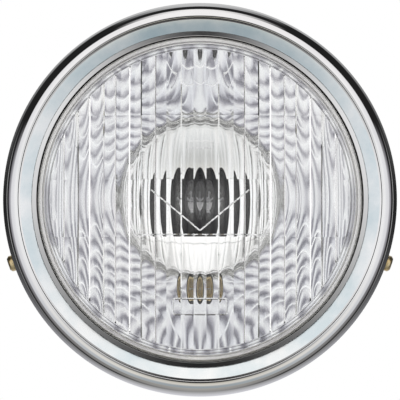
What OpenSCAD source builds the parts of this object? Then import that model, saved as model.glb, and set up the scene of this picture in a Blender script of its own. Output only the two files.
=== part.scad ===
// Round motorcycle headlight: chromed rim, fluted glass, mirror and bulb, in a steel bucket.
// Millimetres. The light shines towards -Y, +Z is up. The origin lies on the lamp's axis,
// where the line through the two side bolts crosses it.
// Each sub-part is drawn looking out along its own z, then turned once so that z becomes -Y.

// Name of the sub-part to build, or "all"

/* [Rim] */
// How far the rim's bead stands out past its skirt
bead_out = 1.4; // [1:0.1:3]
// Thickness of the rim's sheet steel
rim_t = 1; // [0.8:0.1:1.5]
// How far the rim's lip reaches over the edge of the glass
lip_cover = 3; // [2.5:0.1:3.4]
// Width of the flat satin band, measured across the front
band_w = 6.6; // [5:0.1:8]
// How far the satin band rises from its inner edge to its outer edge
band_rise = 3.8; // [2:0.1:6]
// Depth of the rounded outer bead, from its crest to the widest place
bead_depth = 8; // [6:0.5:10]
// Length of the taper between the bead and the skirt
taper_l = 11.4; // [8:0.2:14]
// Length of the straight skirt behind the bead
skirt_l = 10; // [8:0.5:14]

/* [Glass] */
// Outer diameter of the glass, which the rings around it follow
lens_d = 160; // [150:1:180]
// Width of the plain edge of the glass, outside the flutes
edge_w = 10; // [9:0.5:14]
// Height of the front of the glass above the line of the side bolts
lens_front = 70; // [68:0.5:72]
// Radius of the dome of the glass
dome_r = 228; // [200:2:300]
// Thickness of the glass at its middle
lens_t = 4.6; // [4:0.1:6]
// Distance from one flute to the next
flute_pitch = 6; // [5:0.25:8]
// Radius of each hollow flute
flute_r = 9; // [8:0.25:14]
// Heights of the lines where one prism zone ends and the next begins
zone_lines = [-17.8, 8.8, 38.7];
// Depth of each zone below the zone inside it, from the bottom zone to the top one
zone_drop = [0.5, 0, 0.35, 0.8];
// Height of the point of the moulded V below the axis
vee_drop = 15; // [10:0.5:20]
// Half of the width that the moulded V spans
vee_w = 26; // [18:1:30]
// Width of the bare moulded frame in the lower glass
plate_w = 25.8; // [20:0.2:30]
// Height of the bare moulded frame
plate_h = 8.1; // [6:0.1:12]
// Height of the frame's middle below the axis
plate_drop = 50.6; // [46:0.1:56]

// Height that the frame stands out from the glass
plate_rise = 0.35; // [0.2:0.05:0.6]

/* [Mirror] */
// Focal length of the mirror
focal = 26; // [24:0.5:28]
// How far the edge of the mirror's opening lies inside the edge of the glass
mirror_edge = 8; // [7.6:0.1:10]
// Thickness of the mirror's sheet
mirror_t = 0.8; // [0.6:0.1:1.2]
// Diameter of the hole for the main bulb
bulb_hole_d = 37.5; // [36:0.5:40]
// Distance of the pilot lamp below the axis
pilot_drop = 42; // [38:0.5:46]

/* [Bucket] */
// Room between the edge of the glass and the outside of the bucket's mouth
mouth_gap = 10.6; // [9:0.1:14]
// Thickness of the bucket's sheet steel
bucket_t = 1; // [0.8:0.1:1.5]
// Depth of the bowl behind its straight mouth
bowl_depth = 90; // [80:1:92]
// How far each flat bolt face lies inside the bucket's widest radius
boss_in = 0.1; // [0:0.1:1.5]
// Diameter of each flat bolt face
boss_d = 34; // [28:1:40]

/* [Fixings] */
// Angle of the two rim screws below the horizontal
screw_angle = 18.5; // [10:0.5:40]
// Nominal diameter of the rim screws
screw_d = 4; // [4:1:5]
// Tapping radius of the side bolts' threads
side_thread_r = 3.4; // [2.9:0.1:4.2]
// Radius of the hole through the cable grommet
cable_r = 7; // [5:0.5:9]

/* [Hidden] */
// Smallest gap or overlap used where a cutter has to pass a face
eps = 0.01;
lens_r = lens_d / 2;
area_r = lens_r - edge_w;
mirror_r = lens_r - mirror_edge;
lip_r = lens_r - lip_cover;
mouth_r = lens_r + mouth_gap;
rim_r = mouth_r + rim_t + bead_out;
face_x = mouth_r - boss_in;

// Levels along the lamp's axis, from the back to the front
mirror_rim_z = 46;
vertex_z = mirror_rim_z - mirror_r * mirror_r / (4 * focal);
focus_z = vertex_z + focal;
seal_t = 0.8;
flange_z = mirror_rim_z + seal_t;
flange_t = 3.7;
shelf_z = flange_z + flange_t;
band_in_r = lip_r + 1.6;
band_in_z = shelf_z + 3.1;
band_out_r = band_in_r + band_w;
band_out_z = band_in_z + band_rise;
groove = 0.4;
wide_z = band_out_z - bead_depth;
skirt_r = mouth_r + rim_t;
skirt_top = wide_z - taper_l;
skirt_end = skirt_top - skirt_l;
mouth_z = skirt_top;
bowl_z = 24;

// Height of the dome of the glass at a distance from the axis
function dome_z(r, drop = 0) = lens_front - dome_r + sqrt((dome_r - drop) * (dome_r - drop) - r * r);
// Height of the mirror's front face at a distance from the axis
function mirror_z(r) = vertex_z + r * r / (4 * focal);
// Points along part of an ellipse, with the angle measured from its first half-width
function arc(c, rx, ry, a0, a1, n) =
    [for (i = [0:n]) let (a = a0 + (a1 - a0) * i / n) [c.x + rx * cos(a), c.y + ry * sin(a)]];
// Direction square to a path at one of its points, on its right-hand side
function unit(v) = v / norm(v);
function side(p, i) =
    let (n = len(p) - 1)
    let (a = unit(p[min(i, n - 1) + 1] - p[min(i, n - 1)]))
    let (b = unit(p[max(i, 1)] - p[max(i, 1) - 1]))
    let (m = unit(a + b))
    [m.y, -m.x] / (m * a);
// The same path moved sideways by the thickness of a sheet
function moved(p, t) = [for (i = [0:len(p) - 1]) p[i] + side(p, i) * t];
function flip(p) = [for (i = [len(p) - 1:-1:0]) p[i]];
// Closed outline of a sheet of thickness t that lies to the right of a path
function sheet(p, t) = concat(p, flip(moved(p, t)));

// Outside of the rim, from the lip at the glass to the end of the skirt
rim_path = concat(
    [[lip_r, shelf_z + 1.4], [lip_r + 0.5, shelf_z + 2.2], [band_in_r, band_in_z]],
    [[band_out_r, band_out_z]],
    [[band_out_r + groove / 2, band_out_z - groove]],
    arc([band_out_r + groove, wide_z], rim_r - band_out_r - groove, bead_depth, 84, 0, 12),
    [[rim_r - 0.35, wide_z - 3.2], [skirt_r, skirt_top], [skirt_r, skirt_end]]
);
rim_back = moved(rim_path, rim_t);

// Outside of the bucket, from its mouth to the flat at its back
bowl_n = 2.4;
back_flat_r = 22;
function bowl(a) = [
    back_flat_r + (mouth_r - back_flat_r) * pow(cos(a), 2 / bowl_n),
    bowl_z - bowl_depth * pow(sin(a), 2 / bowl_n)
];
bucket_path = concat(
    [[mouth_r, mouth_z], [mouth_r, bowl_z]],
    [for (i = [1:13]) bowl(i * 90 / 14)],
    [[back_flat_r, bowl_z - bowl_depth], [0, bowl_z - bowl_depth]]
);
back_z = bowl_z - bowl_depth;

// Front of the mirror, from the edge of the bulb hole to its opening
mirror_path = [for (i = [0:16])
    let (r = bulb_hole_d / 2 + (mirror_r - bulb_hole_d / 2) * i / 16) [r, mirror_z(r)]];
collar_l = 5;
bulb_seat_z = mirror_z(bulb_hole_d / 2) - collar_l;
flange_r = lens_r - 0.5;
seal_r = lens_r - 6.8;

// Turns a sub-part from its own z to the lamp's front
module facing() {
    rotate([90, 0, 0]) children();
}

module spin(points) {
    rotate_extrude($fn = 180) polygon(points);
}

module tube(r_out, r_in, z0, z1, fn = 72) {
    difference() {
        translate([0, 0, z0]) cylinder(r = r_out, h = z1 - z0, $fn = fn);
        translate([0, 0, z0 - 1]) cylinder(r = r_in, h = z1 - z0 + 2, $fn = fn);
    }
}

// Places its children along the radius at each rim screw, pointing outwards
module at_screw(s) {
    rotate([0, 0, s > 0 ? -screw_angle : 180 + screw_angle])
        translate([0, 0, (skirt_top + skirt_end) / 2]) rotate([0, 90, 0]) children();
}

// The four places where the unit ring is screwed to the rim
module at_tabs() {
    for (a = [45:90:315]) rotate([0, 0, a]) children();
}

/* Rim and what is fixed to it */

module rim() {
    facing() difference() {
        spin(sheet(rim_path, rim_t));
        for (s = [-1, 1]) at_screw(s) screw_hole();
    }
}

// Clearance hole for a rim screw, through the rim and the bucket
module screw_hole() {
    translate([0, 0, mouth_r - 10]) cylinder(d = screw_d + 0.4, h = 20, $fn = 36);
}

// Everything inside the rim's sheet, used to shape the pieces welded to it
module rim_inside(z0, z1) {
    intersection() {
        spin(concat([[0, skirt_end]], [[0, rim_back[0].y]], rim_back));
        translate([0, 0, z0]) cylinder(r = rim_r, h = z1 - z0, $fn = 72);
    }
}

hook_w = 16;
hook_t = 1.2;

module rim_hook() {
    facing() intersection() {
        union() {
            intersection() {
                difference() {
                    rim_inside(mouth_z, mouth_z + 7);
                    translate([0, 0, mouth_z + hook_t])
                        cylinder(r = mouth_r - 0.6, h = 10, $fn = 180);
                }
                translate([0, 0, mouth_z]) tube(rim_r, mouth_r - bucket_t - hook_t, 0, 7, 180);
            }
            tube(mouth_r - bucket_t, mouth_r - bucket_t - hook_t, mouth_z - 8, mouth_z + hook_t, 180);
        }
        translate([-hook_w / 2, mouth_r - 30, 0]) cube([hook_w, 40, rim_r]);
    }
}

ring_t = 1;
ring_z = mirror_rim_z - mirror_t;
tab_t = 1.5;
tab_hole_r = lens_r + 4.5;
ring_screw_r = 1.75;

module ring_tabs() {
    facing() difference() {
        intersection() {
            rim_inside(ring_z, ring_z + 8);
            difference() {
                at_tabs() translate([lens_r + 0.8, -6, ring_z]) cube([rim_r - lens_r, 12, 8]);
                translate([0, 0, ring_z + tab_t]) cylinder(r = rim_r - 2.8, h = 20, $fn = 180);
            }
        }
        at_tabs() translate([tab_hole_r, 0, 0]) cylinder(r = ring_screw_r, h = 100, $fn = 24);
    }
}

module unit_ring() {
    facing() difference() {
        union() {
            spin([[flange_r - 5, ring_z - ring_t], [flange_r + 1.2, ring_z - ring_t],
                  [flange_r + 1.2, ring_z], [flange_r - 5, ring_z]]);
            at_tabs() translate([0, 0, ring_z - ring_t]) linear_extrude(ring_t) difference() {
                union() {
                    translate([flange_r - 2, -5]) square([tab_hole_r - flange_r + 2, 10]);
                    translate([tab_hole_r, 0]) circle(r = 5, $fn = 36);
                }
            }
        }
        at_tabs() translate([tab_hole_r, 0, 0]) cylinder(r = ring_screw_r + 0.2, h = 100, $fn = 24);
    }
}

module unit_ring_screws() {
    facing() at_tabs() translate([tab_hole_r, 0, 0]) difference() {
        union() {
            translate([0, 0, ring_z - ring_t - 2.2]) cylinder(r = 3.4, h = 2.2, $fn = 36);
            translate([0, 0, ring_z - ring_t - eps])
                cylinder(r = ring_screw_r - 0.02, h = tab_t + ring_t + 1.5, $fn = 24);
        }
        cross_slot(ring_z - ring_t - 2.2, 4, 0.9, 1.2);
    }
}

// Cross-shaped driver slot, cut from a face at height z into the head
module cross_slot(z, l, w, d) {
    for (a = [0, 90]) rotate([0, 0, a]) translate([-l / 2, -w / 2, z - d]) cube([l, w, 2 * d]);
}

/* Glass */

shoulder_r = lens_r - 3.5;
corner_r = 1.5;
wall_r = area_r + 2.8;
wall_top = dome_z(wall_r, lens_t) - 1;

// Outside of the glass from the axis to its edge
lens_outside = concat(
    [[0, flange_z]],
    [for (i = [0:14]) let (r = area_r * i / 14) [r, dome_z(r)]],
    arc([shoulder_r - corner_r, shelf_z + 3], corner_r, dome_z(shoulder_r - corner_r) - shelf_z - 3, 88, 0, 7),
    [[shoulder_r, shelf_z], [lens_r, shelf_z], [lens_r, flange_z]]
);

// One zone of flutes: everything that is hollow behind the glass between two heights
module zone(y0, y1, drop) {
    z0 = dome_z(y0, lens_t + drop);
    z1 = dome_z(y1, lens_t + drop);
    tilt = atan((z1 - z0) / (y1 - y0));
    n = ceil(area_r / flute_pitch);
    crest = dome_r - lens_t - drop;
    intersection() {
        translate([-area_r, y0, 30]) cube([2 * area_r, y1 - y0, 50]);
        translate([0, y0, z0]) rotate([tilt, 0, 0]) translate([0, -10, 0]) rotate([90, 0, 0])
            mirror([0, 0, 1]) linear_extrude(y1 - y0 + 20) union() {
                translate([-area_r, -40]) square([2 * area_r, 40 - flute_r - 14]);
                for (k = [-n:n]) {
                    x = k * flute_pitch;
                    h = sqrt(crest * crest - x * x) - crest;
                    translate([x, h - flute_r]) circle(r = flute_r, $fn = 96);
                    translate([x - flute_pitch / 2, -40])
                        square([flute_pitch, 40 + h - flute_r]);
                }
            }
    }
}

// A low ridge that stands out on the back of the glass along a line
module ridge(p, q, w, z0, z1) {
    d = q - p;
    translate([p.x, p.y, z0]) rotate([0, 0, atan2(d.y, d.x)])
        translate([0, -w / 2, 0]) cube([norm(d), w, z1 - z0]);
}

module lens_hollow() {
    edges = concat([-area_r], zone_lines, [area_r]);
    intersection() {
        translate([0, 0, 35]) cylinder(r = area_r, h = 60, $fn = 180);
        for (i = [0:3]) zone(edges[i], edges[i + 1], zone_drop[i]);
    }
    translate([0, 0, 30]) cylinder(r = wall_r, h = wall_top - 30, $fn = 180);
}

module lens() {
    facing() difference() {
        spin(lens_outside);
        difference() {
            lens_hollow();
            for (s = [-1, 1])
                ridge([0, -vee_drop], [s * vee_w, -vee_drop + vee_w * 0.83], 0.9,
                      dome_z(0, lens_t) - 1.2, lens_front);
        }
    }
    facing() moulded_frame();
}

// Bare raised frame on the front of the glass, following its dome
module moulded_frame() {
    intersection() {
        translate([0, 0, dome_z(plate_drop) - 4]) linear_extrude(10) difference() {
            plate_shape(0);
            plate_shape(0.6);
        }
        spin(concat(
            [[area_r * 8 / 14, dome_z(plate_drop) - 6]],
            [for (i = [8:12]) let (r = area_r * i / 14) [r, dome_z(r) + plate_rise]],
            [[area_r * 12 / 14, dome_z(plate_drop) - 6]]
        ));
    }
}

// Rounded outline of the bare moulded frame, drawn in by an inset
module plate_shape(inset) {
    w = plate_w / 2 - inset;
    h = plate_h / 2 - inset;
    r = 1.6 - inset;
    translate([0, -plate_drop]) union() {
        square([2 * (w - r), 2 * h], center = true);
        square([2 * w, 2 * (h - r)], center = true);
        for (i = [-1, 1]) for (j = [-1, 1])
            translate([i * (w - r), j * (h - r)]) circle(r = r, $fn = 24);
    }
}

module lens_gasket() {
    back = [for (i = [0:3]) rim_back[i]];
    slope = (back[3].y - back[2].y) / (back[3].x - back[2].x);
    facing() spin([
        [shoulder_r + 0.2, shelf_z], [lens_r, shelf_z],
        [lens_r, back[2].y + (lens_r - back[2].x) * slope],
        back[2], back[1], back[0]
    ]);
}

module lens_seal() {
    facing() spin([
        [seal_r, mirror_rim_z], [flange_r, mirror_rim_z],
        [flange_r, flange_z], [seal_r, flange_z]
    ]);
}

/* Mirror */

pilot_in_r = 6.6;
pilot_tube_l = 12.1;
pilot_tube_z = mirror_z(pilot_drop) - pilot_tube_l;

module reflector() {
    back = moved(mirror_path, mirror_t);
    hole_r = bulb_hole_d / 2;
    facing() difference() {
        union() {
            spin(concat(
                mirror_path,
                [[flange_r, mirror_rim_z], [flange_r, mirror_rim_z - mirror_t]],
                [[back[16].x + 0.3, mirror_rim_z - mirror_t]],
                [for (i = [15:-1:1]) back[i]],
                [[hole_r + mirror_t, back[0].y - 0.4], [hole_r + mirror_t, bulb_seat_z], [hole_r, bulb_seat_z]]
            ));
            difference() {
                translate([0, -pilot_drop, pilot_tube_z])
                    cylinder(r = pilot_in_r + mirror_t, h = 20, $fn = 72);
                spin(concat([[0, 60], [0, vertex_z + 3]], [[hole_r, mirror_z(hole_r) - 0.1]],
                     [for (i = [1:16]) mirror_path[i] + [0, -0.1]], [[mirror_r, 60]]));
            }
        }
        translate([0, -pilot_drop, -20]) cylinder(r = pilot_in_r, h = 80, $fn = 72);
    }
}

/* Main bulb: two filaments in a glass tube on a three-bladed cap */

tube_r = 8.7;
tube_t = 1.1;
cap_z = bulb_seat_z;
glass_z0 = cap_z + 4;
glass_z1 = focus_z + 14;
shield_r = 4.4;

module bulb_glass() {
    outer = concat([[0, glass_z0], [tube_r, glass_z0], [tube_r, glass_z1]],
        arc([0, glass_z1], tube_r, 7.5, 15, 90, 6));
    inner = concat([[0, glass_z0 + 3], [tube_r - tube_t, glass_z0 + 3], [tube_r - tube_t, glass_z1]],
        arc([0, glass_z1], tube_r - tube_t, 7.5 - tube_t, 15, 90, 6));
    facing() difference() {
        rotate_extrude($fn = 72) polygon(outer);
        rotate_extrude($fn = 72) polygon(inner);
    }
}

module coil(z0, y) {
    translate([0, y, z0]) tube(0.95, 0.55, 0, 5, 24);
}

module bulb_filaments() {
    facing() {
        coil(focus_z - 5.6, 0);
        coil(focus_z + 1.4, 0.4);
    }
}

// Small screen under the front filament
module bulb_shield() {
    facing() difference() {
        translate([0, 0, focus_z + 0.6]) cylinder(r = shield_r, h = 7.4, $fn = 48);
        translate([0, 0, focus_z + 1]) cylinder(r = shield_r - 0.4, h = 8, $fn = 48);
        translate([-10, -0.8, focus_z]) cube([20, 20, 20]);
    }
}

module rod(p, q, r) {
    d = q - p;
    translate(p) rotate([0, acos(d.z / norm(d)), atan2(d.y, d.x)])
        cylinder(r = r, h = norm(d), $fn = 20);
}

module bulb_supports() {
    facing() {
        rod([0, -shield_r - 0.6, glass_z0 + 3], [0, -shield_r - 0.6, focus_z + 7], 0.6);
        for (s = [-1, 1]) {
            rod([s * 5.4, 1.2, glass_z0 + 3], [s * 5.4, 1.2, focus_z - 3.2], 0.5);
            rod([s * 5.4, 1.2, focus_z - 3.2], [s * 1.1, 0, focus_z - 3.2 + s * 1.6], 0.4);
        }
        rod([0, 3.6, glass_z0 + 3], [0, 3.6, focus_z + 3.9], 0.5);
        rod([0, 3.6, focus_z + 3.9], [0, 1.45, focus_z + 3.9], 0.4);
    }
}

module bulb_cap() {
    facing() union() {
        tube(tube_r + 1.2, tube_r, cap_z - 1, glass_z0 + 4);
        tube(bulb_hole_d / 2 + 2.8, tube_r, cap_z - 1, cap_z);
        tube(tube_r + 2.4, tube_r, cap_z - 6, cap_z - 1);
    }
}

module bulb_base() {
    facing() union() {
        translate([0, 0, cap_z - 12]) cylinder(r = tube_r + 2.4, h = 6, $fn = 72);
        translate([0, 0, cap_z - 6]) cylinder(r = tube_r, h = glass_z0 - cap_z + 5.95, $fn = 72);
    }
}

// Three flat contacts: one across the top and one at each side
module bulb_blades() {
    z = cap_z - 12;
    facing() {
        translate([-4, 5.5, z - 10]) cube([8, 0.8, 10]);
        for (s = [-1, 1]) translate([s * 6.5 - 0.4, -6, z - 10]) cube([0.8, 8, 10]);
    }
}

// Spring ring that holds the bulb's flange against the mirror's collar
module bulb_clip() {
    r = bulb_hole_d / 2 + 1.6;
    facing() union() {
        translate([0, 0, cap_z - 1.9]) rotate_extrude($fn = 120) translate([r, 0]) circle(r = 0.9, $fn = 24);
        for (s = [-1, 1]) {
            rod([s * r, 0, cap_z - 1.9], [s * (r + 4.8), 0, cap_z - 1.9], 0.9);
            rod([s * (r + 4), 0, cap_z - 1.9], [s * (r + 4), 0, mirror_z(r + 3) - mirror_t * 1.2 - 0.2], 0.8);
        }
    }
}

module bulb_boot() {
    r0 = tube_r + 2.4;
    rc = bulb_hole_d / 2 + mirror_t;
    top = mirror_z(rc + 6) - mirror_t * 1.15 - 0.2;
    facing() spin([
        [r0, cap_z - 11], [r0, cap_z - 8.5], [r0 + 6, cap_z - 5.5], [rc + 6, cap_z - 3.4],
        [rc + 6, top], [rc + 7.4, top], [rc + 7.4, cap_z - 4.6],
        [r0 + 7, cap_z - 7.5], [r0 + 1.6, cap_z - 9.6], [r0 + 1.6, cap_z - 11]
    ]);
}

/* Pilot lamp */

module at_pilot() {
    facing() translate([0, -pilot_drop, 0]) children();
}

pilot_seat = pilot_tube_z;
holder_r = 5.2;
pilot_t = 0.4;

module pilot_grommet() {
    at_pilot() union() {
        tube(pilot_in_r, holder_r, pilot_seat - 1.5, pilot_seat + 8);
        tube(pilot_in_r + 2, holder_r, pilot_seat - 3, pilot_seat);
    }
}

module pilot_holder() {
    at_pilot() union() {
        tube(holder_r, holder_r - pilot_t, pilot_seat - 9, pilot_seat + 9);
        translate([0, 0, pilot_seat - 9]) cylinder(r = holder_r, h = 1, $fn = 72);
        translate([-1.5, -0.4, pilot_seat - 15]) cube([3, 0.8, 6]);
    }
}

module pilot_bulb_cap() {
    at_pilot() union() {
        tube(holder_r - pilot_t, holder_r - pilot_t - 0.5, pilot_seat - 6, pilot_seat + 8);
        translate([0, 0, pilot_seat - 6]) cylinder(r = holder_r - pilot_t, h = 1.2, $fn = 72);
        translate([0, 0, pilot_seat - 8]) cylinder(r = 1.6, h = 2.2, $fn = 36);
    }
}

pilot_glass_r = holder_r - pilot_t - 0.5;
pilot_top = pilot_seat + 14;

module pilot_bulb_glass() {
    outer = concat([[0, pilot_seat + 1], [pilot_glass_r, pilot_seat + 1], [pilot_glass_r, pilot_top]],
        arc([0, pilot_top], pilot_glass_r, pilot_glass_r, 15, 90, 6));
    inner = concat([[0, pilot_seat + 2.6], [pilot_glass_r - 0.6, pilot_seat + 2.6], [pilot_glass_r - 0.6, pilot_top]],
        arc([0, pilot_top], pilot_glass_r - 0.6, pilot_glass_r - 0.6, 15, 90, 6));
    at_pilot() difference() {
        rotate_extrude($fn = 72) polygon(outer);
        rotate_extrude($fn = 72) polygon(inner);
    }
}

module pilot_filament() {
    z0 = pilot_seat + 2.6;
    z1 = pilot_top + 1;
    at_pilot() union() {
        for (s = [-1, 1]) rod([s * 1.6, 0, z0], [s * 1.6, 0, z1], 0.25);
        rod([-1.5, 0, z1 - 0.4], [1.5, 0, z1 - 0.4], 0.18);
    }
}

/* Bucket */

module bucket() {
    facing() difference() {
        union() {
            spin(concat([[0, mouth_z]], bucket_path));
            for (s = [-1, 1]) rotate([0, s * 90, 0]) cylinder(d = boss_d, h = face_x, $fn = 96);
        }
        spin(concat([[0, mouth_z + 1], [mouth_r - bucket_t, mouth_z + 1]],
            [for (p = moved(bucket_path, bucket_t)) if (p.y < mouth_z) p]));
        for (s = [-1, 1]) {
            rotate([0, s * 90, 0]) cylinder(d = boss_d - 2 * bucket_t, h = face_x - bucket_t, $fn = 96);
            rotate([0, s * 90, 0]) cylinder(r = side_thread_r + 0.85, h = face_x + 5, $fn = 48);
            at_screw(s) screw_hole();
        }
        translate([0, 0, back_z - 5]) cylinder(r = cable_r + 4, h = 15, $fn = 72);
    }
}

washer_t = 1;
head_h = 3.7;

module rim_washer(s) {
    facing() at_screw(s) tube(4.5, screw_d / 2 + 0.1, skirt_r, skirt_r + washer_t, 48);
}

module rim_screw(s) {
    z = skirt_r + washer_t;
    facing() at_screw(s) difference() {
        union() {
            translate([0, 0, z]) cylinder(r = 3.8, h = head_h - 1, $fn = 48);
            translate([0, 0, z + head_h - 1]) cylinder(r1 = 3.8, r2 = 2.8, h = 1, $fn = 48);
            translate([0, 0, z - 12]) cylinder(d = screw_d, h = 12 + eps, $fn = 36);
        }
        cross_slot(z + head_h, 5, 1, 1.6);
    }
}

module rim_nut(s) {
    r = mouth_r - bucket_t - 0.15;
    facing() at_screw(s) difference() {
        translate([0, 0, r - 3.2]) cylinder(r = 4.04, h = 3.2, $fn = 6);
        translate([0, 0, r - 5]) cylinder(d = screw_d + 0.1, h = 8, $fn = 36);
    }
}

module mount_nut(s) {
    x = face_x - bucket_t;
    facing() rotate([0, s * 90, 0]) difference() {
        translate([0, 0, x - 8]) cylinder(r = 7.5, h = 8, $fn = 6);
        translate([0, 0, x - 9]) cylinder(r = side_thread_r, h = 10, $fn = 48);
    }
}

module cable_grommet() {
    facing() spin([
        [cable_r, back_z - 4], [cable_r + 8, back_z - 4], [cable_r + 8, back_z],
        [cable_r + 4, back_z], [cable_r + 4, back_z + bucket_t],
        [cable_r + 6.5, back_z + bucket_t], [cable_r + 6.5, back_z + bucket_t + 2.5],
        [cable_r, back_z + bucket_t + 2.5]
    ]);
}

module rim_screw_left() { rim_screw(-1); }
module rim_screw_right() { rim_screw(1); }
module rim_washer_left() { rim_washer(-1); }
module rim_washer_right() { rim_washer(1); }
module rim_nut_left() { rim_nut(-1); }
module rim_nut_right() { rim_nut(1); }
module mount_nut_left() { mount_nut(-1); }
module mount_nut_right() { mount_nut(1); }

rim();
rim_hook();
ring_tabs();
unit_ring();
unit_ring_screws();
lens();
lens_gasket();
lens_seal();
reflector();
bulb_glass();
bulb_filaments();
bulb_shield();
bulb_supports();
bulb_cap();
bulb_base();
bulb_blades();
bulb_clip();
bulb_boot();
pilot_bulb_glass();
pilot_filament();
pilot_bulb_cap();
pilot_holder();
pilot_grommet();
bucket();
rim_screw_left();
rim_screw_right();
rim_washer_left();
rim_washer_right();
rim_nut_left();
rim_nut_right();
mount_nut_left();
mount_nut_right();
cable_grommet();
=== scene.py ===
import math

import bmesh
import bpy
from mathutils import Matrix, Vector


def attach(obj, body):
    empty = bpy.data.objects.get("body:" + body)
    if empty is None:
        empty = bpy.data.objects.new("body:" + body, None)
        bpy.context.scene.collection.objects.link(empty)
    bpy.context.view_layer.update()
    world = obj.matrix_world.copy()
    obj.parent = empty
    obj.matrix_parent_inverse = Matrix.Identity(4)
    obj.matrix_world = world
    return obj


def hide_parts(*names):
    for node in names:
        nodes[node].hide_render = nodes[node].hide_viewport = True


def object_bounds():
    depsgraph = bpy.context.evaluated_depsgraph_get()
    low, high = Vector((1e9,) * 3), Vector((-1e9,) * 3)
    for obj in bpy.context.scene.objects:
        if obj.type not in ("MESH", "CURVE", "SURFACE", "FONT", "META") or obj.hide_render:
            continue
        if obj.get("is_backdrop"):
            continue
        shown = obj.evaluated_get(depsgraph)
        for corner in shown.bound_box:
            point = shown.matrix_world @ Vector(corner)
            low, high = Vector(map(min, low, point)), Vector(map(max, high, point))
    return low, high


# One millimetre in metres. Every other size of the lamp is in millimetres
MM = 0.001

# Steps of a large ring all the way round
AROUND = 256

# Glass
LENS_FRONT = 70.0
DOME_R = 228.0
LENS_T = 4.6
AREA_R = 70.0
LENS_R = 80.0
FLANGE_Z = 46.8
SEAL_GAP = 0.06
SHELF_Z = 50.5
SHOULDER_R = 76.5
CORNER_R = 1.5
SHOULDER_SOFT = 0.25
WALL_R = 72.8
WALL_SOFT = 0.1
BACK_DEPTH = 3.5
LOW_WALL = 4.0
SIDE_WALL = 5.5
UPRIGHT = 0.1
RING_LINES = (71.0, 72.5, 73.9)
FLUTE_PITCH = 6.0
FLUTE_R = 9.0
FLUTE_END = 68.9
FLUTE_STEPS = 10
ZONE_LINES = (-17.8, 8.8, 38.7)
ZONE_DROP = (0.5, 0.0, 0.35, 0.8)
VEE_DROP = 15.0
VEE_W = 22.8
VEE_SLOPE = 0.83
LINE_HALF = 31.0
PLATE_W = 25.8
PLATE_H = 8.1
PLATE_DROP = 50.6
PLATE_RISE = 0.6
PLATE_CORNER = 1.3
PLATE_LINE = 0.3
PLATE_SLOPE = 0.16
PLATE_MARGIN = 0.4
PLATE_ROWS = 24
ROW_STEP = 2.0
RIDGE_W = 0.75
RIDGE_H = 0.95

# Rim sheet
RIM_T = 0.96

# Mirror and pilot lamp
FOCAL = 26.0
MIRROR_R = 72.0
MIRROR_T = 0.8
MIRROR_Z = 46.0
HOLE_R = 18.75
COLLAR_L = 5.0
MIRROR_SHARP = 24.0
MIRROR_STEPS = 60
PILOT_DROP = 42.0
PILOT_R = 6.6
TUBE_TOP = 14.0
TUBE_FOOT = 1.0

# Bucket and its side pads
MOUTH_R = 90.6
MOUTH_Z = 38.0
BOWL_Z = 24.0
BOWL_DEPTH = 90.0
BOWL_N = 2.4
BOWL_STEPS = 60
BACK_FLAT_R = 22.0
BUCKET_T = 1.0
CABLE_HOLE_R = 11.0
PAD_R = 17.1
PAD_HOLE_R = 4.25
PAD_FOOT = 84.0
PAD_BACK = 89.55
PAD_FACE = 90.66
PAD_SOFT = 0.4
PAINT_SHARP = 40.0

# Camera, floor and light, in metres and shares
CAMERA_DISTANCE = 1.4
CAMERA_DROP_DEG = 2.0
CAMERA_AIM = (0.0, -0.0494, -0.0003)
FRAME_WIDTH = 0.1889
SENSOR_WIDTH = 36.0
FLOOR_HALF = 3.0
FLOOR_HEIGHT = -0.3
FLOOR_GLOW = 0.75
BACKDROP = (1.35, 1.34, 1.32)
BACKDROP_SHARE = 0.6

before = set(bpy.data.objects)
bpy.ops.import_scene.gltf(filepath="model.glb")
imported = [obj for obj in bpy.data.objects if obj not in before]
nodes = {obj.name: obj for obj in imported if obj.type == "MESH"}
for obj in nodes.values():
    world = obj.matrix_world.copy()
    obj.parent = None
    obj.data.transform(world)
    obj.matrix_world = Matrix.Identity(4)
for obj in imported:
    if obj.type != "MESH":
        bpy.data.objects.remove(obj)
size_at_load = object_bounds()


def at(x, y, z):
    """A point drawn looking out along the lamp's axis, put in the row's frame."""
    return (x * MM, -z * MM, y * MM)


# Materials

def new_material(name):
    """A material with its node tree and its shader."""
    mat = bpy.data.materials.new(name)
    mat.use_nodes = True
    tree = mat.node_tree
    shader = tree.nodes["Principled BSDF"]
    return mat, tree, shader


def link(tree, a, b):
    tree.links.new(a, b)


def noise(tree, scale, detail=3.0, rough=0.5):
    """Cloudy values between 0 and 1, fixed to the piece."""
    coord = tree.nodes.new("ShaderNodeTexCoord")
    tex = tree.nodes.new("ShaderNodeTexNoise")
    tex.inputs["Scale"].default_value = scale
    tex.inputs["Detail"].default_value = detail
    tex.inputs["Roughness"].default_value = rough
    link(tree, coord.outputs["Object"], tex.inputs["Vector"])
    return tex.outputs["Fac"]


def opaque(color):
    """A colour with alpha 1, from a grey level or from three parts."""
    if isinstance(color, (int, float)):
        color = (color, color, color)
    return (color[0], color[1], color[2], 1.0)


def ramp(tree, fac, stops):
    """Colours that follow a value, from a list of places and colours."""
    node = tree.nodes.new("ShaderNodeValToRGB")
    elements = node.color_ramp.elements
    while len(elements) > 1:
        elements.remove(elements[0])
    elements[0].position = stops[0][0]
    elements[0].color = opaque(stops[0][1])
    for pos, color in stops[1:]:
        elements.new(pos).color = opaque(color)
    link(tree, fac, node.inputs["Fac"])
    return node.outputs["Color"]


def bump(tree, shader, height, strength, distance):
    """Fine relief from a height value."""
    node = tree.nodes.new("ShaderNodeBump")
    node.inputs["Strength"].default_value = strength
    node.inputs["Distance"].default_value = distance
    link(tree, height, node.inputs["Height"])
    link(tree, node.outputs["Normal"], shader.inputs["Normal"])


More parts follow.
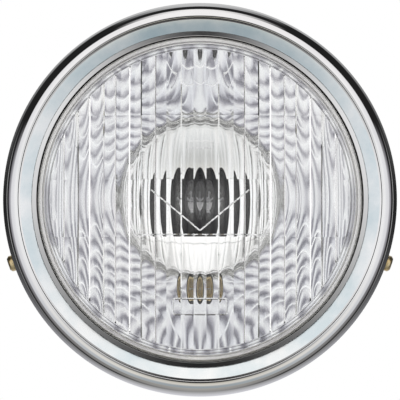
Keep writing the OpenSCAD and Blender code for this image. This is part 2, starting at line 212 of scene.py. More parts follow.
def wander(tree, shader, fac, socket, values, low=0.3, high=0.7):
    """Let one of a shader's values wander between two ends with the noise."""
    link(tree, ramp(tree, fac, [(low, values[0]), (high, values[1])]), shader.inputs[socket])


def surface(name, colors, rough, metallic=0.0, scale=60.0, bumpy=0.0, bump_scale=400.0):
    """A material whose colour and roughness wander a little between two values."""
    mat, tree, shader = new_material(name)
    fac = noise(tree, scale, 4.0, 0.6)
    wander(tree, shader, fac, "Base Color", colors, 0.35, 0.65)
    wander(tree, shader, fac, "Roughness", rough)
    shader.inputs["Metallic"].default_value = metallic
    if bumpy:
        bump(tree, shader, noise(tree, bump_scale, 2.0), bumpy, 0.0002)
    return mat


def clear_glass(name, tint, rough):
    """Solid glass that bends light."""
    mat, tree, shader = new_material(name)
    fac = noise(tree, 35.0, 3.0, 0.6)
    pale = tuple(min(1.0, c * 1.02) for c in tint)
    wander(tree, shader, fac, "Base Color", (tint, pale))
    wander(tree, shader, fac, "Roughness", rough)
    shader.inputs["Transmission Weight"].default_value = 1.0
    shader.inputs["IOR"].default_value = 1.5
    return mat


def thin_glass(name, tint, rough, alpha):
    """A wall of glass so thin that it doesn't bend what is seen through it."""
    mat, tree, shader = new_material(name)
    fac = noise(tree, 60.0, 3.0, 0.6)
    pale = tuple(min(1.0, c * 1.1) for c in tint)
    wander(tree, shader, fac, "Base Color", (tint, pale))
    wander(tree, shader, fac, "Roughness", rough)
    wander(tree, shader, fac, "Alpha", alpha)
    return mat


# Each line: name, two colours, two roughness values, metallic, noise scale, bump and its scale
CHROME = surface("chrome", ((0.80, 0.80, 0.81), (0.86, 0.86, 0.865)), (0.03, 0.07), 1.0, 25.0)
SATIN = surface("satin band", ((0.70, 0.79, 0.82), (0.93, 0.95, 0.95)), (0.05, 0.12), 1.0, 40.0, 0.12, 260.0)
MIRROR = surface("mirror", ((0.91, 0.92, 0.93), (0.95, 0.95, 0.95)), (0.02, 0.06), 1.0, 18.0)
SILVERED = surface("silvered glass wall", ((0.90, 0.90, 0.88), (0.96, 0.96, 0.94)), (0.04, 0.12), 1.0, 60.0)
EDGE = surface("backed glass edge", ((0.92, 0.91, 0.87), (0.98, 0.975, 0.95)), (0.12, 0.22), 1.0, 90.0)
NICKEL = surface("nickel", ((0.74, 0.73, 0.71), (0.88, 0.87, 0.85)), (0.15, 0.3), 1.0, 200.0)
ZINC = surface("yellow zinc", ((0.66, 0.50, 0.24), (0.80, 0.68, 0.44)), (0.25, 0.42), 1.0, 300.0, 0.1)
BRASS = surface("brass", ((0.74, 0.60, 0.34), (0.86, 0.74, 0.48)), (0.22, 0.38), 1.0, 150.0, 0.1)
STEEL = surface("bare steel", ((0.50, 0.50, 0.50), (0.62, 0.62, 0.61)), (0.28, 0.42), 1.0, 150.0, 0.1)
WIRE = surface("filament wire", ((0.34, 0.34, 0.35), (0.48, 0.48, 0.48)), (0.3, 0.45), 1.0, 500.0)
# near-black metal that is painted shade: it darkens the rim's crease, the mirror's collar and the bulb cap
PAINTED_SHADE_METAL = surface("painted shade metal", ((0.035, 0.033, 0.036), (0.06, 0.056, 0.06)), (0.45, 0.6), 1.0, 120.0, 0.1)
PAINT = surface(
    "black paint", ((0.014, 0.014, 0.016), (0.024, 0.024, 0.026)), (0.12, 0.2), 0.0, 30.0, 0.05, 700.0)
RUBBER = surface(
    "rubber", ((0.018, 0.018, 0.018), (0.035, 0.034, 0.033)), (0.6, 0.8), 0.0, 120.0, 0.3, 1200.0)
SEALANT = surface("sealant", ((0.84, 0.83, 0.79), (0.92, 0.91, 0.87)), (0.5, 0.7), 0.0, 120.0, 0.3)
INSULATOR = surface("insulator", ((0.03, 0.028, 0.026), (0.06, 0.055, 0.05)), (0.4, 0.6), 0.0, 150.0, 0.2)
GLASS = clear_glass("lens glass", (0.98, 0.985, 0.983), (0.0, 0.02))
BULB_GLASS = thin_glass("bulb glass", (0.80, 0.83, 0.84), (0.0, 0.04), (0.02, 0.05))


# Meshes

def make(name, verts, faces, mats, node, sharp=30.0, face_mats=None):
    """A finished piece of the lamp that stands in for a CAD node."""
    mesh = bpy.data.meshes.new(name)
    mesh.from_pydata([at(*v) for v in verts], [], faces)
    for mat in mats:
        mesh.materials.append(mat)
    if face_mats:
        for poly, index in zip(mesh.polygons, face_mats):
            poly.material_index = index
    mesh.validate()
    obj = bpy.data.objects.new(name, mesh)
    bpy.context.scene.collection.objects.link(obj)
    finish_mesh(obj, sharp)
    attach(obj, "root")
    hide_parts(node)
    return obj


def shade(mesh, sharp):
    """Smooth shading that stays crisp at edges steeper than an angle in degrees."""
    for poly in mesh.polygons:
        poly.use_smooth = True
    mesh.set_sharp_from_angle(angle=math.radians(sharp))


def finish_mesh(obj, sharp):
    """Merge double points and turn all faces outwards."""
    bm = bmesh.new()
    bm.from_mesh(obj.data)
    bmesh.ops.remove_doubles(bm, verts=bm.verts, dist=1e-6)
    bmesh.ops.dissolve_degenerate(bm, edges=bm.edges, dist=1e-7)
    bmesh.ops.recalc_face_normals(bm, faces=bm.faces)
    bm.to_mesh(obj.data)
    bm.free()
    shade(obj.data, sharp)


def turned(profile, count, mat_of=None):
    """Closed ring of a profile of (radius, height) points turned about the lamp's axis."""
    verts = []
    faces = []
    mats = []
    n = len(profile)
    for i in range(count):
        a = 2 * math.pi * i / count
        for r, z in profile:
            verts.append((r * math.cos(a), r * math.sin(a), z))
    for i in range(count):
        j = (i + 1) % count
        for k in range(n):
            m = (k + 1) % n
            faces.append((i * n + k, i * n + m, j * n + m, j * n + k))
            mats.append(mat_of(k) if mat_of else 0)
    return verts, faces, mats


def arc(cx, cz, rx, rz, a0, a1, count):
    """Points along part of an ellipse, between two angles in degrees."""
    points = []
    for i in range(count + 1):
        a = math.radians(a0 + (a1 - a0) * i / count)
        points.append((cx + rx * math.cos(a), cz + rz * math.sin(a)))
    return points


def offset(path, t):
    """The same path moved to its right-hand side by t."""
    out = []
    last = len(path) - 1
    for i in range(len(path)):
        p = path[max(i - 1, 0)]
        q = path[i]
        r = path[min(i + 1, last)]
        before = Vector((q[0] - p[0], q[1] - p[1])).normalized()
        after = Vector((r[0] - q[0], r[1] - q[1])).normalized()
        if i == 0:
            before = after
        if i == last:
            after = before
        m = (before + after).normalized()
        k = 1.0 / max(m.dot(before), 0.3)
        out.append((q[0] + m.y * t * k, q[1] - m.x * t * k))
    return out


def dome_z(r, drop=0.0):
    """Height of the dome at a radius, or of the same dome moved in by a drop."""
    return LENS_FRONT - DOME_R + math.sqrt((DOME_R - drop) ** 2 - r * r)


def mirror_z(r):
    """Height of the mirror's paraboloid at a radius."""
    return MIRROR_Z - MIRROR_R ** 2 / (4 * FOCAL) + r * r / (4 * FOCAL)


# Rim: fine turned sheet with its satin band, between the same limits as the CAD rim

# Places of the three materials on the rim; the third is near-black painted shade in the crease
CHROME_FACE = 0
SATIN_FACE = 1
CREASE_SHADE_FACE = 2


def build_rim():
    """The outside of the sheet from the rolled lip to the end of the skirt, then its inside."""
    lip = [(77.0, 53.2), (77.03, 53.7), (77.1, 53.9), (77.2, 53.97), (79.1, 54.1)]
    band_end = (84.5, 57.15)
    crease = [(84.6, 57.18), (85.3, 57.12), (85.4, 56.8), (85.47, 56.72), (85.54, 56.85), (85.62, 57.36)]
    bead = arc(85.6, 49.4, 7.4, 8.0, 88.5, 0, 44)
    taper = [(92.97, 48.6), (92.88, 47.6), (92.72, 46.2), (92.4, 42.0), (92.1, 38.0)]
    skirt_end = [(91.95, 28.15), (91.85, 28.0)]
    path = lip + [band_end] + crease + bead + taper + skirt_end
    profile = path + offset(path, RIM_T)[::-1]
    band_index = len(lip) - 1
    # the crease faces are painted dark, standing in for the shade in the fold
    crease_shade_steps = range(band_index + 3, band_index + 1 + len(crease))

    def finish_of(k):
        if k == band_index:
            return SATIN_FACE
        return CREASE_SHADE_FACE if k in crease_shade_steps else CHROME_FACE

    verts, faces, mats = turned(profile, AROUND, finish_of)
    make("rim_fine", verts, faces, [CHROME, SATIN, PAINTED_SHADE_METAL], "rim", 14.0, mats)


# Lens: plain dome outside, flutes in four zones inside

# Places of the three materials on the lens
GLASS_FACE = 0
EDGE_FACE = 1
SILVERED_FACE = 2


def flute_depth(x):
    """Depth of the hollow flute at x, and the middle of that flute."""
    x = max(-FLUTE_END, min(FLUTE_END, x))
    k = round(x / FLUTE_PITCH)
    dx = x - k * FLUTE_PITCH
    return math.sqrt(FLUTE_R ** 2 - dx * dx) - FLUTE_R, k * FLUTE_PITCH


def inner_z(x, y, zone):
    """Back of the glass inside one prism zone: a flat slope across it, with the flutes cut in."""
    edges = (-AREA_R,) + ZONE_LINES + (AREA_R,)
    y0 = edges[zone]
    y1 = edges[zone + 1]
    drop = ZONE_DROP[zone]
    z0 = dome_z(y0, LENS_T + drop)
    z1 = dome_z(y1, LENS_T + drop)
    crest = DOME_R - LENS_T - drop
    depth, xc = flute_depth(x)
    h = math.sqrt(crest * crest - xc * xc) - crest
    slope = (z1 - z0) / (y1 - y0)
    return z0 + (y - y0) * slope + (h + depth) * math.sqrt(1 + slope * slope)


def outer_z(x, y):
    """Front of the glass, with the line of the bare frame standing out from it."""
    z = dome_z(math.hypot(x, y))
    qx = abs(x) - (PLATE_W / 2 - PLATE_LINE) + PLATE_CORNER
    qy = abs(y + PLATE_DROP) - (PLATE_H / 2 - PLATE_LINE) + PLATE_CORNER
    d = math.hypot(max(qx, 0), max(qy, 0)) + min(max(qx, qy), 0) - PLATE_CORNER
    raised = max(0.0, min(1.0, (PLATE_LINE - abs(d)) / PLATE_SLOPE))
    return z + PLATE_RISE * raised


def steps(values, low, high, gap):
    """The values between two limits, in order and at least a gap apart."""
    out = []
    for v in sorted(values):
        if v < low - 1e-9 or v > high + 1e-9:
            continue
        if out and v - out[-1] < gap:
            continue
        out.append(v)
    return out


def lens_columns():
    """Where the columns of the lens grid stand, left to right."""
    cols = []
    n = int(AREA_R / FLUTE_PITCH) + 1
    for k in range(-n, n + 1):
        for i in range(FLUTE_STEPS):
            cols.append(FLUTE_PITCH * (k - 0.5 + i / FLUTE_STEPS))
    # more columns where the round edge runs nearly upright
    for i in range(0, 181, 2):
        across = math.cos(math.radians(i))
        if abs(across) > 0.86:
            cols.append(AREA_R * across)
    # and where the bare frame turns its corners
    for s in (-1, 1):
        for i in range(10):
            cols.append(s * (PLATE_W / 2 - 2.0 + 0.22 * i))
    cols = steps(cols, -AREA_R, AREA_R, 0.12)
    cols[0] = -AREA_R
    cols[-1] = AREA_R
    return cols


def lens_rows():
    """Heights of the rows of the lens grid, each with its prism zone."""
    rows = []
    y = -AREA_R
    while y < AREA_R:
        rows.append(y)
        y += ROW_STEP
    plate_low = -PLATE_DROP - PLATE_H / 2 - PLATE_MARGIN
    for i in range(PLATE_ROWS):
        rows.append(plate_low + i * (PLATE_H + 2 * PLATE_MARGIN) / (PLATE_ROWS - 1))
    rows.append(AREA_R)
    # each zone line gets two rows at the same height, one for the zone on each side
    marked = []
    zone = 0
    lines = list(ZONE_LINES)
    for y in steps(rows, -AREA_R, AREA_R, 0.2):
        while lines and y > lines[0]:
            marked.append((lines[0], zone))
            zone += 1
            marked.append((lines[0], zone))
            lines.pop(0)
        marked.append((y, zone))
    return marked


def lens_sheet():
    """The front and the back of the fluted area, open at its round edge."""
    cols = lens_columns()
    rows = lens_rows()
    verts = []
    faces = []
    front = {}
    back = {}
    for i, x in enumerate(cols):
        limit = math.sqrt(max(AREA_R ** 2 - x * x, 0.0))
        for j, (y, zone) in enumerate(rows):
            # rows past the round edge are pulled in to it
            yy = max(-limit, min(limit, y))
            if yy != y:
                zone = sum(1 for line in ZONE_LINES if yy > line + 1e-9)
            front[i, j] = len(verts)
            verts.append((x, yy, outer_z(x, yy)))
            back[i, j] = len(verts)
            verts.append((x, yy, inner_z(x, yy, zone)))
    for i in range(len(cols) - 1):
        for j in range(len(rows) - 1):
            for table, turn in ((front, 1), (back, -1)):
                quad = [table[i, j], table[i + 1, j], table[i + 1, j + 1], table[i, j + 1]]
                points = {tuple(round(value, 5) for value in verts[q]) for q in quad}
                if len(points) > 2:
                    faces.append(tuple(quad[::turn]))
    mesh = bpy.data.meshes.new("lens sheet")
    mesh.from_pydata(verts, [], faces)
    bm = bmesh.new()
    bm.from_mesh(mesh)
    bpy.data.meshes.remove(mesh)
    bmesh.ops.remove_doubles(bm, verts=bm.verts, dist=1e-4)
    loose = [v for v in bm.verts if not v.link_faces]
    bmesh.ops.delete(bm, geom=loose, context="VERTS")
    bmesh.ops.dissolve_degenerate(bm, edges=bm.edges, dist=1e-5)
    return bm


def lens_edge_profile():
    """The plain edge with its fine rings, its round corner, the flange and the wall inside it."""
    profile = []
    for ring in RING_LINES:
        for dr, dz in ((-0.3, 0.0), (-0.1, 0.16), (0.1, 0.16), (0.3, 0.0)):
            profile.append((ring + dr, dome_z(ring + dr) + dz))
    corner = SHOULDER_R - CORNER_R
    profile += arc(corner, SHELF_Z + 3, CORNER_R, dome_z(corner) - SHELF_Z - 3, 90, 0, 12)
    under = FLANGE_Z + SEAL_GAP
    profile += [(SHOULDER_R, SHELF_Z), (LENS_R, SHELF_Z), (LENS_R, under), (WALL_R, under)]
    wall_top = dome_z(WALL_R, LENS_T) - 1
    profile += [(WALL_R, wall_top), (AREA_R + 0.02, wall_top)]
    return profile


def turn_of(v):
    """Angle of a point round the lamp's axis."""
    return math.atan2(v.co.y, v.co.x)


def join_loops(bm, first, second):
    """Triangles between two loops that both run round the axis, from angles -180 to 180."""
    turns = []
    for loop in (first, second):
        angles = [turn_of(v) for v in loop]
        turns.append(angles + [angles[0] + 2 * math.pi, 1e9])
    i = 0
    j = 0
    while i < len(first) or j < len(second):
        a = first[i % len(first)]
        b = second[j % len(second)]
        if turns[0][i + 1] <= turns[1][j + 1]:
            i += 1
            c = first[i % len(first)]
        else:
            j += 1
            c = second[j % len(second)]
        if len({a, b, c}) == 3:
            try:
                bm.faces.new((a, b, c))
            except ValueError:
                pass


def lens_finish_of(f):
    """Clear glass, but pale where the edge is backed by the sealant and the silvered wall."""
    middle = f.calc_center_median()
    r = math.hypot(middle.x, middle.y)
    lowest = min(v.co.z for v in f.verts)
    low = middle.z < dome_z(r) - BACK_DEPTH and lowest < SHELF_Z + LOW_WALL
    side_wall = r > SHOULDER_R - SHOULDER_SOFT and middle.z < SHELF_Z + SIDE_WALL
    upright = abs(f.normal.z) < UPRIGHT
    if AREA_R - WALL_SOFT < r < WALL_R + WALL_SOFT and low:
        return SILVERED_FACE if upright else GLASS_FACE
    return EDGE_FACE if r > AREA_R and (low or side_wall) else GLASS_FACE


def build_lens():
    """The fluted sheet, closed round its edge."""
    bm = lens_sheet()
    edge_verts = set()
    for e in bm.edges:
        if e.is_boundary:
            edge_verts.update(e.verts)
    middle_z = dome_z(AREA_R) - 0.5
    front_ring = sorted((v for v in edge_verts if v.co.z > middle_z), key=turn_of)
    back_ring = sorted((v for v in edge_verts if v.co.z <= middle_z), key=lambda v: (turn_of(v), v.co.z))
    columns = []
    for v in front_ring:
        a = turn_of(v)
        column = [v]
        for r, z in lens_edge_profile():
            column.append(bm.verts.new((r * math.cos(a), r * math.sin(a), z)))
        columns.append(column)
    for i, p in enumerate(columns):
        q = columns[(i + 1) % len(columns)]
        for k in range(len(p) - 1):
            bm.faces.new((p[k], p[k + 1], q[k + 1], q[k]))
    join_loops(bm, [column[-1] for column in columns], back_ring)
    bm.normal_update()
    bm.verts.index_update()
    verts = [tuple(v.co) for v in bm.verts]
    faces = [tuple(v.index for v in f.verts) for f in bm.faces]
    finishes = [lens_finish_of(f) for f in bm.faces]
    bm.free()
    make("lens_fine", verts, faces, [GLASS, EDGE, SILVERED], "lens", 14.0, finishes)


def bar(p, q, width, height):
    """A ridge of glass along a line on the back of the lens, pointed in section."""
    d = Vector((q[0] - p[0], q[1] - p[1]))
    side = Vector((-d.y, d.x)).normalized() * (width / 2)
    count = 12
    verts = []
    for i in range(count + 1):
        c = Vector(p) + d * (i / count)
        z = dome_z(c.length, LENS_T) - 0.05
        verts.append((c.x - side.x, c.y - side.y, z))
        verts.append((c.x + side.x, c.y + side.y, z))
        verts.append((c.x, c.y, z - height))
    faces = [(0, 1, 2), (3 * count, 3 * count + 2, 3 * count + 1)]
    for i in range(count):
        a = 3 * i
        for k in range(3):
            m = (k + 1) % 3
            faces.append((a + k, a + 3 + k, a + 3 + m, a + m))
    return verts, faces


def build_ridges():
    """The moulded V and the line under the middle zone."""
    vee_top = -VEE_DROP + VEE_W * VEE_SLOPE
    line_y = ZONE_LINES[0] + 0.9
    lines = [
        ((0, -VEE_DROP), (VEE_W, vee_top)),
        ((0, -VEE_DROP), (-VEE_W, vee_top)),
        ((-LINE_HALF, line_y), (LINE_HALF, line_y)),
    ]
    verts = []
    faces = []
    for p, q in lines:
        v, f = bar(p, q, RIDGE_W, RIDGE_H)
        n = len(verts)
        verts += v
        faces += [tuple(i + n for i in face) for face in f]
    make("lens_ridges", verts, faces, [GLASS], "lens", 20.0)


def drill(obj, radius, length, turn, place):
    """Cut a round hole through a piece. The sizes are in millimetres, the place is in metres."""
    cutter_mesh = bpy.data.meshes.new("drill")
    cutter = bpy.data.objects.new("drill", cutter_mesh)
    bpy.context.scene.collection.objects.link(cutter)
    bm = bmesh.new()
    r = radius * MM
    bmesh.ops.create_cone(bm, cap_ends=True, segments=64, radius1=r, radius2=r, depth=length * MM)
    bm.to_mesh(cutter_mesh)
    bm.free()
    cutter.rotation_euler = turn
    cutter.location = place
    cut = obj.modifiers.new("hole", "BOOLEAN")
    cut.operation = "DIFFERENCE"
    cut.solver = "EXACT"
    cut.object = cutter
    bpy.context.view_layer.update()
    graph = bpy.context.evaluated_depsgraph_get()
    cut_mesh = bpy.data.meshes.new_from_object(obj.evaluated_get(graph))
    obj.modifiers.clear()
    obj.data = cut_mesh
    bpy.data.objects.remove(cutter)


def build_reflector():
    """The pressed mirror with its bulb collar, its flange and its pilot tube."""
    radii = [HOLE_R + (MIRROR_R - HOLE_R) * i / MIRROR_STEPS for i in range(MIRROR_STEPS + 1)]
    face = [(r, mirror_z(r)) for r in radii]
    back = offset(face, MIRROR_T - 0.02)
    flange = LENS_R - 0.5
    flange_back = MIRROR_Z - MIRROR_T
    seat = mirror_z(HOLE_R) - COLLAR_L
    profile = face + [(flange, MIRROR_Z), (flange, flange_back), (back[-1][0] + 0.3, flange_back)]
    profile += back[-2:0:-1]
    profile += [(HOLE_R + MIRROR_T, back[0][1] - 0.4), (HOLE_R + MIRROR_T, seat), (HOLE_R, seat)]
    verts, faces, _ = turned(profile, AROUND)
    obj = make("reflector_fine", verts, faces, [MIRROR], "reflector", MIRROR_SHARP)
    drill(obj, PILOT_R, 90.0, (math.pi / 2, 0, 0), at(0, -PILOT_DROP, 15))
    # the collar below the hole's edge is painted near-black, standing in for the shade deep in the hole
    obj.data.materials.append(PAINTED_SHADE_METAL)
    for poly in obj.data.polygons:
        c = poly.center
        if math.hypot(c.x, c.z) < (HOLE_R + 1) * MM and c.y > -(mirror_z(HOLE_R) - 0.2) * MM:
            poly.material_index = 1
    shade(obj.data, MIRROR_SHARP)
    tube_r = PILOT_R + MIRROR_T
    tube = [(PILOT_R, TUBE_TOP), (tube_r, TUBE_TOP), (tube_r, TUBE_FOOT), (PILOT_R, TUBE_FOOT)]
    verts, faces, _ = turned(tube, 64)
    trimmed = []
    for x, y, z in verts:
        y -= PILOT_DROP
        # the top of the tube follows the back of the mirror
        if z > TUBE_FOOT:
            z = min(z, mirror_z(math.hypot(x, y)) - 0.4)
        trimmed.append((x, y, z))
    make("pilot_tube_fine", trimmed, faces, [MIRROR], "reflector", 30.0)


def build_bucket():
    """The steel bowl, open at its mouth, with holes where the side pads sit."""
    outer = [(MOUTH_R, MOUTH_Z), (MOUTH_R, BOWL_Z)]
    for i in range(1, BOWL_STEPS):
        a = math.radians(90 * i / BOWL_STEPS)
        r = BACK_FLAT_R + (MOUTH_R - BACK_FLAT_R) * math.cos(a) ** (2 / BOWL_N)
        outer.append((r, BOWL_Z - BOWL_DEPTH * math.sin(a) ** (2 / BOWL_N)))
    outer += [(BACK_FLAT_R, BOWL_Z - BOWL_DEPTH), (CABLE_HOLE_R, BOWL_Z - BOWL_DEPTH)]
    profile = outer + offset(outer, BUCKET_T)[::-1]
    verts, faces, _ = turned(profile, AROUND)
    obj = make("bucket_fine", verts, faces, [PAINT], "bucket", PAINT_SHARP)
    drill(obj, PAD_R - 0.3, 300.0, (0, math.pi / 2, 0), (0, 0, 0))
    shade(obj.data, PAINT_SHARP)


def build_side_pads():
    """The flat cups that the side bolts pull up against, with a soft edge."""
    wall = PAD_R - BUCKET_T
    profile = [(PAD_HOLE_R, PAD_BACK), (wall, PAD_BACK), (wall, PAD_FOOT), (PAD_R, PAD_FOOT)]
    profile += arc(PAD_R - PAD_SOFT, PAD_FACE - PAD_SOFT, PAD_SOFT, PAD_SOFT, 0, 90, 5)
    profile.append((PAD_HOLE_R, PAD_FACE))
    verts, faces, _ = turned(profile, 96)
    for name, side in (("side_pad_left", -1), ("side_pad_right", 1)):
        across = [(side * h, u, v) for u, v, h in verts]
        make(name, across, faces, [PAINT], "bucket", PAINT_SHARP)


def dress(node, mat, sharp=35.0):
    """A smooth-shaded copy of a CAD node with its finish."""
    source = nodes[node]
    mesh = source.data.copy()
    mesh.materials.clear()
    mesh.materials.append(mat)
    obj = bpy.data.objects.new(node + "_finish", mesh)
    bpy.context.scene.collection.objects.link(obj)
    bm = bmesh.new()
    bm.from_mesh(mesh)
    bmesh.ops.remove_doubles(bm, verts=bm.verts, dist=1e-6)
    bm.to_mesh(mesh)
    bm.free()
    for poly in mesh.polygons:
        poly.material_index = 0
    shade(mesh, sharp)
    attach(obj, "root")
    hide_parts(node)
    return obj


build_rim()
build_lens()
build_ridges()
build_reflector()
build_bucket()
build_side_pads()

FINISHES = (
    (STEEL, "steel", ("rim_hook", "ring_tabs", "unit_ring", "bulb_blades", "bulb_clip")),
    (ZINC, "zinc", ("unit_ring_screws", "rim_screw_left", "rim_screw_right", "rim_washer_left",
                    "rim_washer_right", "rim_nut_left", "rim_nut_right", "mount_nut_left",
                    "mount_nut_right")),
    (RUBBER, "rubber", ("lens_gasket", "bulb_boot", "pilot_grommet", "cable_grommet")),
    (SEALANT, "sealant", ("lens_seal",)),
    (BULB_GLASS, "glass", ("bulb_glass", "pilot_bulb_glass")),
    (WIRE, "wire", ("bulb_filaments", "bulb_supports", "pilot_filament")),
    (NICKEL, "steel", ("bulb_shield",)),
    (INSULATOR, "insulator", ("bulb_base",)),
    (BRASS, "brass", ("pilot_bulb_cap", "pilot_holder")),
    # the bulb cap is painted near-black, standing in for the shade deep in the lamp's hole
    (PAINTED_SHADE_METAL, "steel", ("bulb_cap",)),
)
for mat, slot, names in FINISHES:
    for name in names:
        piece = dress(name, mat)
        # the mirror gathers on the bulb, so its thin parts are left out of reflections
        if name.startswith("bulb_"):
            piece.visible_glossy = False


# Surroundings: a soft studio whose light depends only on direction

def build_world():
    """The light comes from colours that follow the turn away from straight ahead of the lamp."""
    world = bpy.data.worlds.new("studio")
    bpy.context.scene.world = world
    world.use_nodes = True
    tree = world.node_tree
    tree.nodes.clear()
    out = tree.nodes.new("ShaderNodeOutputWorld")
    coord = tree.nodes.new("ShaderNodeTexCoord")
    split = tree.nodes.new("ShaderNodeSeparateXYZ")
    link(tree, coord.outputs["Generated"], split.inputs[0])

    def calc(op, a, b=None, clamp=False):
        node = tree.nodes.new("ShaderNodeMath")
        node.operation = op
        node.use_clamp = clamp
        for slot, value in ((0, a), (1, b)):
            if value is None:
                continue
            if isinstance(value, (int, float)):
                node.inputs[slot].default_value = value
            else:
                link(tree, value, node.inputs[slot])
        return node.outputs[0]

    def mix(fac, a, b):
        node = tree.nodes.new("ShaderNodeMix")
        node.data_type = "RGBA"
        if isinstance(fac, float):
            node.inputs[0].default_value = fac
        else:
            link(tree, fac, node.inputs[0])
        for slot, value in ((6, a), (7, b)):
            if isinstance(value, tuple):
                node.inputs[slot].default_value = opaque(value)
            else:
                link(tree, value, node.inputs[slot])
        return node.outputs[2]

    x = split.outputs[0]
    y = split.outputs[1]
    z = split.outputs[2]
    # 0 straight ahead of the lamp, 0.5 level with it all round, 1 straight behind it
    turn = calc("DIVIDE", calc("ARCCOSINE", calc("MULTIPLY", y, -1.0)), math.pi)
    x2 = calc("MULTIPLY", x, x)
    z2 = calc("MULTIPLY", z, z)
    across = calc("MAXIMUM", calc("ADD", x2, z2), 1e-6)
    upright = calc("DIVIDE", z2, across)
    above = calc("GREATER_THAN", z, 0.0)
    below = calc("SUBTRACT", 1.0, above)
    # strongest half way between upright and level
    slanting = calc("MULTIPLY", calc("MULTIPLY", upright, calc("SUBTRACT", 1.0, upright)), 4.0)

    up = ramp(tree, turn, [
        (0.0, 0.02), (0.085, 0.02), (0.11, (1.04, 1.02, 1.01)), (0.385, (1.04, 1.015, 1.005)),
        (0.41, 0.02), (0.55, 0.02), (0.575, 0.60), (1.0, 0.66)])
    down = ramp(tree, turn, [
        (0.0, 0.03), (0.085, 0.04), (0.105, (0.62, 0.59, 0.51)), (0.19, (0.80, 0.77, 0.70)),
        (0.225, (0.54, 0.55, 0.53)), (0.25, (0.40, 0.44, 0.46)), (0.31, (0.36, 0.41, 0.44)),
        (0.35, (0.44, 0.43, 0.40)), (0.42, (0.39, 0.38, 0.36)), (0.50, (0.34, 0.335, 0.33)),
        (0.58, (0.50, 0.50, 0.51)), (0.70, (0.66, 0.66, 0.69)), (1.0, (0.80, 0.80, 0.86))])
    side = ramp(tree, turn, [
        (0.0, 0.80), (0.05, 1.0), (0.13, 1.0), (0.20, (0.90, 0.90, 0.92)), (0.24, (0.86, 0.86, 0.88)),
        (0.32, (0.82, 0.82, 0.84)), (0.36, (0.46, 0.455, 0.48)), (0.42, (0.27, 0.26, 0.29)),
        (0.45, 0.02), (0.53, 0.02), (0.545, 0.75), (0.565, 0.02), (1.0, 0.02)])
    room = mix(upright, side, mix(above, down, up))

    # a dark shape to the upper left and the upper right, level with the lamp and behind it
    corner = calc("MULTIPLY", calc("MULTIPLY", slanting, above), 1.6, clamp=True)
    dark = ramp(tree, turn, [(0.305, 0.0), (0.325, 1.0), (0.66, 1.0), (0.71, 0.0)])
    black = ramp(tree, turn, [(0.0, 0.015), (1.0, 0.02)])
    room = mix(calc("MULTIPLY", corner, dark), room, black)

    # thin dark streaks to the lower left and the lower right
    streak = calc("MULTIPLY", calc("MULTIPLY", slanting, below), 1.6, clamp=True)
    lines = ramp(tree, turn, [
        (0.33, 0.0), (0.37, 0.55), (0.41, 0.25), (0.46, 0.3), (0.49, 0.9), (0.53, 0.9), (0.56, 0.2),
        (0.75, 0.0)])
    room = mix(calc("MULTIPLY", streak, lines), room, black)

    # mottled patches close to the direction straight ahead of the lamp
    patches = tree.nodes.new("ShaderNodeTexNoise")
    patches.inputs["Scale"].default_value = 9.0
    patches.inputs["Detail"].default_value = 4.0
    link(tree, coord.outputs["Generated"], patches.inputs["Vector"])
    ragged = calc("MULTIPLY", calc("SUBTRACT", patches.outputs["Fac"], 0.5), 0.16)
    aside = calc("ADD", calc("ABSOLUTE", x), ragged)
    ahead_low = ramp(tree, aside, [
        (0.0, 1.02), (0.05, (0.87, 0.86, 0.88)), (0.09, (0.56, 0.55, 0.59)), (0.13, (0.35, 0.34, 0.38)),
        (0.17, (0.57, 0.56, 0.60)), (0.21, (0.89, 0.88, 0.90)), (0.30, 1.02)])
    ahead_high = ramp(tree, aside, [
        (0.0, 0.98), (0.04, (0.77, 0.76, 0.79)), (0.08, (0.40, 0.39, 0.44)), (0.13, (0.18, 0.175, 0.21)),
        (0.17, (0.38, 0.375, 0.42)), (0.21, (0.76, 0.755, 0.80)), (0.30, (0.98, 0.98, 1.0))])
    ahead = mix(above, ahead_low, ahead_high)

    # the glass also passes the white of the backdrop, dimmed below where the mirror shows the floor
    dimmed = ramp(tree, turn, [
        (0.18, BACKDROP), (0.21, (0.72, 0.70, 0.66)), (0.26, (0.66, 0.64, 0.60)),
        (0.30, (1.0, 0.98, 0.95)), (0.34, BACKDROP)])
    backdrop = mix(calc("MULTIPLY", calc("MULTIPLY", upright, upright), below), BACKDROP, dimmed)
    near = ramp(tree, turn, [(0.13, 1.0), (0.19, 0.0)])
    through = mix(near, mix(BACKDROP_SHARE, room, backdrop), ahead)
    path = tree.nodes.new("ShaderNodeLightPath")
    room = mix(path.outputs["Is Transmission Ray"], room, through)

    light = tree.nodes.new("ShaderNodeBackground")
    link(tree, room, light.inputs["Color"])
    light.inputs["Strength"].default_value = 1.0
    white = tree.nodes.new("ShaderNodeBackground")
    white.inputs["Color"].default_value = opaque(1.0)
    white.inputs["Strength"].default_value = 1.0
    choose = tree.nodes.new("ShaderNodeMixShader")
    link(tree, path.outputs["Is Camera Ray"], choose.inputs[0])
    link(tree, light.outputs[0], choose.inputs[1])
    link(tree, white.outputs[0], choose.inputs[2])
    link(tree, choose.outputs[0], out.inputs["Surface"])


build_world()


# Floor, well below the lamp

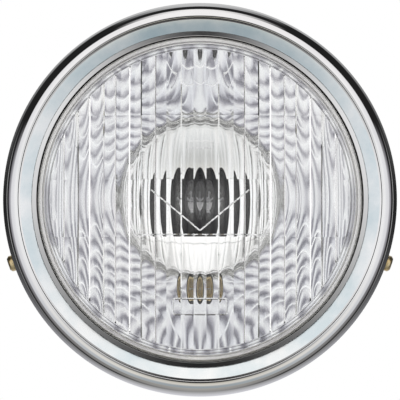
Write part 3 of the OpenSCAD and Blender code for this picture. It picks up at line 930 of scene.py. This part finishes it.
def floor_material():
    """Pale floor that looks nearly white to the camera and still takes the shadow."""
    mat = surface("floor", ((0.86, 0.86, 0.855), (0.90, 0.90, 0.895)), (0.7, 0.8), 0.0, 3.0)
    tree = mat.node_tree
    out = next(n for n in tree.nodes if n.type == "OUTPUT_MATERIAL")
    diffuse = out.inputs["Surface"].links[0].from_socket
    glow = tree.nodes.new("ShaderNodeEmission")
    glow.inputs["Color"].default_value = opaque(1.0)
    path = tree.nodes.new("ShaderNodeLightPath")
    share = tree.nodes.new("ShaderNodeMath")
    share.operation = "MULTIPLY"
    share.inputs[1].default_value = FLOOR_GLOW
    link(tree, path.outputs["Is Camera Ray"], share.inputs[0])
    both = tree.nodes.new("ShaderNodeMixShader")
    link(tree, share.outputs[0], both.inputs[0])
    link(tree, diffuse, both.inputs[1])
    link(tree, glow.outputs[0], both.inputs[2])
    link(tree, both.outputs[0], out.inputs["Surface"])
    return mat


def build_floor():
    mesh = bpy.data.meshes.new("floor")
    s = FLOOR_HALF
    corners = [(x, y, FLOOR_HEIGHT) for x, y in ((-s, -s), (s, -s), (s, s), (-s, s))]
    mesh.from_pydata(corners, [], [(0, 1, 2, 3)])
    mesh.materials.append(floor_material())
    floor = bpy.data.objects.new("floor", mesh)
    bpy.context.scene.collection.objects.link(floor)
    floor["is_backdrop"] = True
    # metal and glass show the studio's own colours below the lamp
    floor.visible_glossy = False
    floor.visible_transmission = False


build_floor()


# Camera, at the photo's angle

camera_data = bpy.data.cameras.new("camera")
camera = bpy.data.objects.new("camera", camera_data)
bpy.context.scene.collection.objects.link(camera)
drop = math.radians(CAMERA_DROP_DEG)
aim = Vector(CAMERA_AIM)
camera.location = aim + Vector((0.0, -math.cos(drop), -math.sin(drop))) * CAMERA_DISTANCE
camera.rotation_euler = (aim - camera.location).to_track_quat("-Z", "Y").to_euler()
camera_data.sensor_width = SENSOR_WIDTH
camera_data.lens = SENSOR_WIDTH * CAMERA_DISTANCE / FRAME_WIDTH
camera_data.clip_start = 0.05
bpy.context.scene.camera = camera
bpy.context.scene.view_settings.view_transform = "Standard"



# The CAD box and the visual model's box

def plain(value):
    if isinstance(value, dict):
        return {k: plain(v) for k, v in value.items()}
    try:
        return [plain(v) for v in value]
    except TypeError:
        return float(value)


size_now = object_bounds()
{"load": plain(size_at_load), "finish": plain(size_now)}
